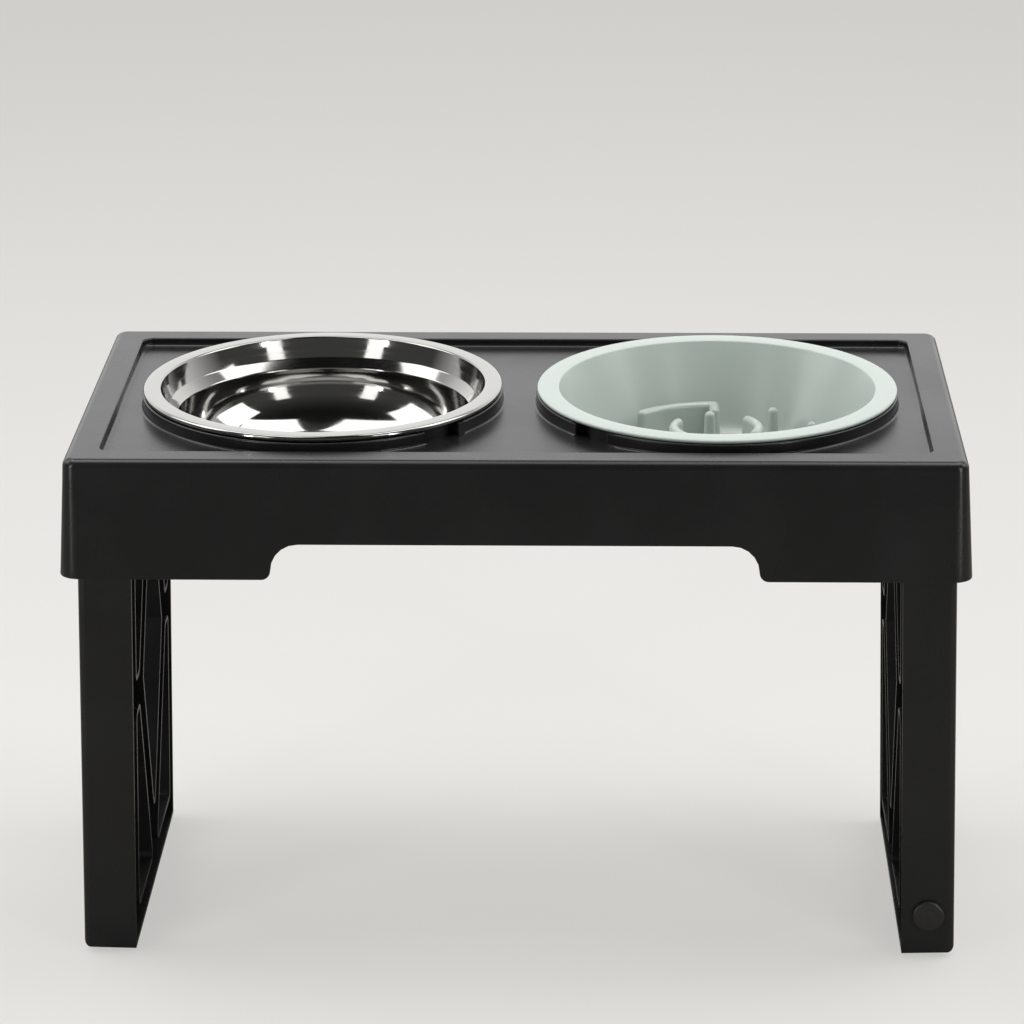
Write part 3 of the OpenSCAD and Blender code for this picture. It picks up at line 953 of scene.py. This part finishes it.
@dataclass
class RubberFoot:
    """A rubber plug: a round pad outside the leg's wall, a stem through it and a barb behind it."""

    radius: float = 9.0
    height: float = 2.7
    edge_round: float = 1.3
    stem_r: float = 4.0
    wall: float = 2.5
    barb_r: float = 5.2
    barb_h: float = 3.6
    tip_r: float = 3.0
    inset: float = 23.5
    # Air between the plug and the leg's wall
    air: float = 0.02
    # Points this near to the floor count as on it
    floor_slack: float = 0.001
    steps: int = 48
    # Edges with a larger angle than this, in degrees, stay sharp in the shading
    smooth_to: float = 35.0

    def profile(self, reach: float) -> list[Point]:
        """Half section of a plug, from the middle of its pad to the tip of its barb.

        Args:
            reach: Extra height of the pad.

        Returns:
            Points from axis to axis.
        """
        pad = self.height + reach
        edge = arc((self.radius - self.edge_round, self.edge_round - pad), self.edge_round, -90, 0, 6)
        barb = self.wall + self.air
        tip = self.wall + self.barb_h
        back = [(self.radius, -self.air), (self.stem_r, -self.air), (self.stem_r, barb),
                (self.barb_r, barb), (self.tip_r, tip), (0.0, tip)]
        return [(0.0, -pad)] + edge + back

    def build(self, name: str, side: Side, end: End, on_edge: bool, legs: LegFrame) -> bpy.types.Object:
        """Models one plug in its place.

        Args:
            name: Name of the new piece.
            side: Leg that carries it.
            end: First or second end of the leg's underside or long edge, in the leg's own frame.
            on_edge: Whether it sits on the long edge.
            legs: Where the legs are.

        Returns:
            The plug, cut level where it stands on the floor.
        """
        sink = 0.0 if on_edge else self.radius * math.sin(math.radians(legs.rake))
        piece = spun(name, self.profile(sink), Vector((0.0, 0.0, 0.0)), self.steps)
        half_h = legs.length / 2
        if on_edge:
            up = end.value * (half_h - self.inset) - half_h
            turn = Matrix.Rotation(-math.pi / 2, 4, "X")
            spot = Matrix.Translation((-legs.thick / 2, -legs.depth / 2, up)) @ turn
        else:
            along = end.value * (legs.depth / 2 - self.inset)
            spot = Matrix.Translation((-legs.thick / 2, along, -2 * half_h))
        spot = legs.matrix(side) @ spot
        spot.translation = spot.translation * MM
        piece.matrix_world = spot
        make_active(piece)
        bpy.ops.object.transform_apply(location=True, rotation=True, scale=True)
        if not on_edge:
            bpy.ops.object.mode_set(mode="EDIT")
            bpy.ops.mesh.select_all(action="SELECT")
            bpy.ops.mesh.bisect(plane_co=(0.0, 0.0, 0.0), plane_no=(0.0, 0.0, -1.0), use_fill=True,
                                clear_outer=True, threshold=self.floor_slack * MM)
            close_up()
            bpy.ops.object.mode_set(mode="OBJECT")
        return piece

    def dress(self, piece: bpy.types.Object, rubber: bpy.types.Material, body: str, node: str) -> None:
        """Gives a plug its finish and its place.

        Args:
            piece: The finished plug.
            rubber: Its material.
            body: CAD body of the leg that carries it.
            node: CAD node that it stands for.
        """
        smooth(piece, self.smooth_to)
        dress(piece, rubber)
        put_in_frame(piece, body, node)

    def fit(self, leg: LegPanel, legs: LegFrame, rubber: bpy.types.Material) -> None:
        """Makes the four plugs of a leg: two feet and two on its long edge.

        Args:
            leg: The leg that carries them.
            legs: Where the legs are.
            rubber: Material of the plugs.
        """
        for end in End:
            where = "rear" if end.value * leg.side.value > 0 else "front"
            level = "upper" if end is End.SECOND else "lower"
            for spot, on_edge in ((where, False), (f"{level}_edge", True)):
                node = f"{leg.name}_{spot}_foot"
                plug = self.build(f"{node}_plug", leg.side, end, on_edge, legs)
                self.dress(plug, rubber, leg.name, node)


@dataclass(frozen=True)
class Softbox:
    """A rectangular lamp that faces the stand, in metres and watts."""

    name: str
    place: Place
    size: Point
    power: float


@dataclass
class Studio:
    """Pale floor, soft light and the camera."""

    floor: str = "#dedcd8"
    floor_pale: str = "#e2e0dc"
    floor_r: float = 9.0
    floor_steps: int = 96
    floor_roughness: float = 0.85
    floor_specular: float = 0.1
    # Patches of tone in the floor, to the metre
    floor_patches: float = 1.5
    # Tone that the floor has in reflections and gives to the light it throws back
    reflected: str = "#96938e"
    # Share of an even glow in the floor that the camera sees, which keeps its far end pale
    haze: str = "#e9e8e5"
    haze_share: float = 0.6
    # Height above the floor that the lamps face
    aim: float = 0.25
    # Lamps of which one stands on each side
    pairs: tuple[Softbox, ...] = (
        Softbox("top_softbox", (0.85, 0.35, 2.2), (1.1, 1.3), 12.0),
        Softbox("front_softbox", (1.275, -1.6, 1.05), (0.45, 0.9), 2.8),
        Softbox("side_softbox", (1.5725, 0.1, 1.35), (1.1, 0.9), 8.0),
        Softbox("corner_strip", (1.445, -1.45, 0.4), (0.16, 0.8), 7.0))
    overhead: Softbox = Softbox("overhead_softbox", (0.0, -0.1, 2.2), (2.2, 1.2), 16.0)
    # Strength of the world in front of the stand, behind it and where the camera sees it
    world_front: float = 0.1
    world_back: float = 1.65
    world_seen: float = 0.9
    # Share of that strength that is left overhead
    world_top: float = 0.15
    # Parts of a direction along Y and Z over which the world brightens to the back and dims to the top
    world_turn: Point = (-0.1, 0.8)
    world_rise: Point = (0.45, 0.85)
    focal_px: float = 3917.52
    image_px: float = 1024.0
    sensor: float = 36.0
    eye: Place = (55.28, -2129.93, 964.93)
    pitch: float = 18.950
    yaw: float = -1.6158
    roll: float = 0.3029
    # Farthest distance that the camera draws, in metres
    farthest: float = 50.0

    def add_floor(self) -> None:
        """Adds the floor, with a soft broken tone."""
        start_fresh()
        bpy.ops.mesh.primitive_circle_add(
            vertices=self.floor_steps, radius=self.floor_r, fill_type="NGON",
            location=(0.0, 0.0, 0.0))
        floor = bpy.context.object
        floor.name = "studio_floor"
        # Matt painted board
        material, shader, place = fresh_material("matt_floor")
        tree = material.node_tree
        tone = add_node(tree, "ShaderNodeTexNoise", {
            "Vector": place, "Scale": self.floor_patches, "Detail": 2.0})
        tint = add_node(tree, "ShaderNodeValToRGB", {"Fac": tone.outputs["Fac"]})
        set_ramp(tint, [(0.3, linear(self.floor)), (0.7, linear(self.floor_pale))])
        by_camera = add_node(tree, "ShaderNodeLightPath").outputs["Is Camera Ray"]
        seen = add_node(tree, "ShaderNodeMixRGB", {
            "Fac": by_camera, "Color1": linear(self.reflected), "Color2": tint.outputs["Color"]})
        tree.links.new(seen.outputs["Color"], shader.inputs["Base Color"])
        shader.inputs["Roughness"].default_value = self.floor_roughness
        shader.inputs["Specular IOR Level"].default_value = self.floor_specular
        share = add_node(
            tree, "ShaderNodeMath", {0: by_camera, 1: self.haze_share}, operation="MULTIPLY")
        glow = add_node(tree, "ShaderNodeEmission", {"Color": linear(self.haze), "Strength": 1.0})
        mixed = add_node(tree, "ShaderNodeMixShader", {
            "Fac": share.outputs["Value"], 1: shader.outputs["BSDF"], 2: glow.outputs["Emission"]})
        tree.links.new(mixed.outputs["Shader"], tree.nodes["Material Output"].inputs["Surface"])
        dress(floor, material)

    def add_lamp(self, softbox: Softbox, side: int = 1) -> None:
        """Adds one softbox.

        Args:
            softbox: The lamp.
            side: Sign of its place along X.
        """
        lamp = bpy.data.lights.new(softbox.name, "AREA")
        lamp.shape = "RECTANGLE"
        lamp.size, lamp.size_y = softbox.size
        lamp.energy = softbox.power
        holder = bpy.data.objects.new(softbox.name, lamp)
        bpy.context.scene.collection.objects.link(holder)
        x, y, z = softbox.place
        place = Vector((side * x, y, z))
        facing = (place - Vector((0.0, 0.0, self.aim))).to_track_quat("Z", "Y")
        holder.matrix_world = Matrix.Translation(place) @ facing.to_matrix().to_4x4()

    def add_light(self) -> None:
        """Adds the softboxes and the world."""
        for side in Side:
            for softbox in self.pairs:
                self.add_lamp(softbox, side.value)
        self.add_lamp(self.overhead)
        self.add_world()

    def add_world(self) -> None:
        """Adds a world that is bright behind the stand and dim in front of it and overhead."""
        world = bpy.data.worlds.new("studio")
        bpy.context.scene.world = world
        world.use_nodes = True
        tree = world.node_tree
        tree.nodes.clear()
        way = add_node(tree, "ShaderNodeTexCoord").outputs["Generated"]
        split = add_node(tree, "ShaderNodeSeparateXYZ", {"Vector": way})
        back = add_node(tree, "ShaderNodeMapRange", {
            "Value": split.outputs["Y"], "From Min": self.world_turn[0], "From Max": self.world_turn[1],
            "To Min": self.world_front, "To Max": self.world_back})
        high = add_node(tree, "ShaderNodeMapRange", {
            "Value": split.outputs["Z"], "From Min": self.world_rise[0], "From Max": self.world_rise[1],
            "To Min": 1.0, "To Max": self.world_top})
        level = add_node(tree, "ShaderNodeMath", {
            0: back.outputs["Result"], 1: high.outputs["Result"]}, operation="MULTIPLY")
        path = add_node(tree, "ShaderNodeLightPath")
        strength = add_node(tree, "ShaderNodeMix", {
            "Factor": path.outputs["Is Camera Ray"], "A": level.outputs["Value"], "B": self.world_seen})
        shine = add_node(tree, "ShaderNodeBackground", {"Strength": strength.outputs["Result"]})
        add_node(tree, "ShaderNodeOutputWorld", {"Surface": shine.outputs["Background"]})

    def spare(self, piece: bpy.types.Object) -> None:
        """Keeps the overhead lamp and its mirror image off a polished piece.

        Args:
            piece: The piece that the lamp doesn't light.
        """
        group = bpy.data.collections.new(f"{piece.name}_spared")
        group.objects.link(piece)
        group.collection_objects[0].light_linking.link_state = "EXCLUDE"
        bpy.data.objects[self.overhead.name].light_linking.receiver_collection = group

    def add_camera(self) -> None:
        """Adds the camera at the photograph's viewing angle."""
        p, y, r = (math.radians(v) for v in (self.pitch, self.yaw, self.roll))
        ahead = Vector((math.sin(y) * math.cos(p), math.cos(y) * math.cos(p), -math.sin(p)))
        level = Vector((math.cos(y), -math.sin(y), 0.0))
        upright = Vector((math.sin(y) * math.sin(p), math.cos(y) * math.sin(p), math.cos(p)))
        right = level * math.cos(r) - upright * math.sin(r)
        up = level * math.sin(r) + upright * math.cos(r)
        camera = bpy.data.cameras.new("photo_camera")
        camera.sensor_width = self.sensor
        camera.lens = self.focal_px / self.image_px * self.sensor
        camera.clip_end = self.farthest
        holder = bpy.data.objects.new("photo_camera", camera)
        bpy.context.scene.collection.objects.link(holder)
        turned = Matrix((right, up, -ahead)).transposed().to_4x4()
        holder.matrix_world = Matrix.Translation(Vector(self.eye) * MM) @ turned
        bpy.context.scene.camera = holder


def main() -> None:
    """Builds the stand piece by piece and sets up the studio."""
    logging.basicConfig(level=logging.INFO, format="%(name)s: %(message)s")
    bpy.context.scene.view_settings.view_transform = "Standard"
    studio = Studio()
    studio.add_camera()
    studio.add_floor()
    studio.add_light()

    plastic = MouldedPolypropylene().material()
    rubber = BlackRubber().material()
    tray = Tray()
    tray.dress(tray.build(), plastic)
    legs = LegFrame()
    foot = RubberFoot()
    for side in Side:
        leg = LegPanel(side)
        leg.dress(leg.build(), plastic)
        foot.fit(leg, legs, rubber)
    steel = SteelBowl()
    bowl = steel.build()
    steel.dress(bowl, PolishedSteel(centre=(steel.x, 0.0)).material())
    studio.spare(bowl)
    slow = SlowFeederBowl()
    slow.dress(slow.build(), SagePlastic().material())


if __name__ == "__main__":
    main()
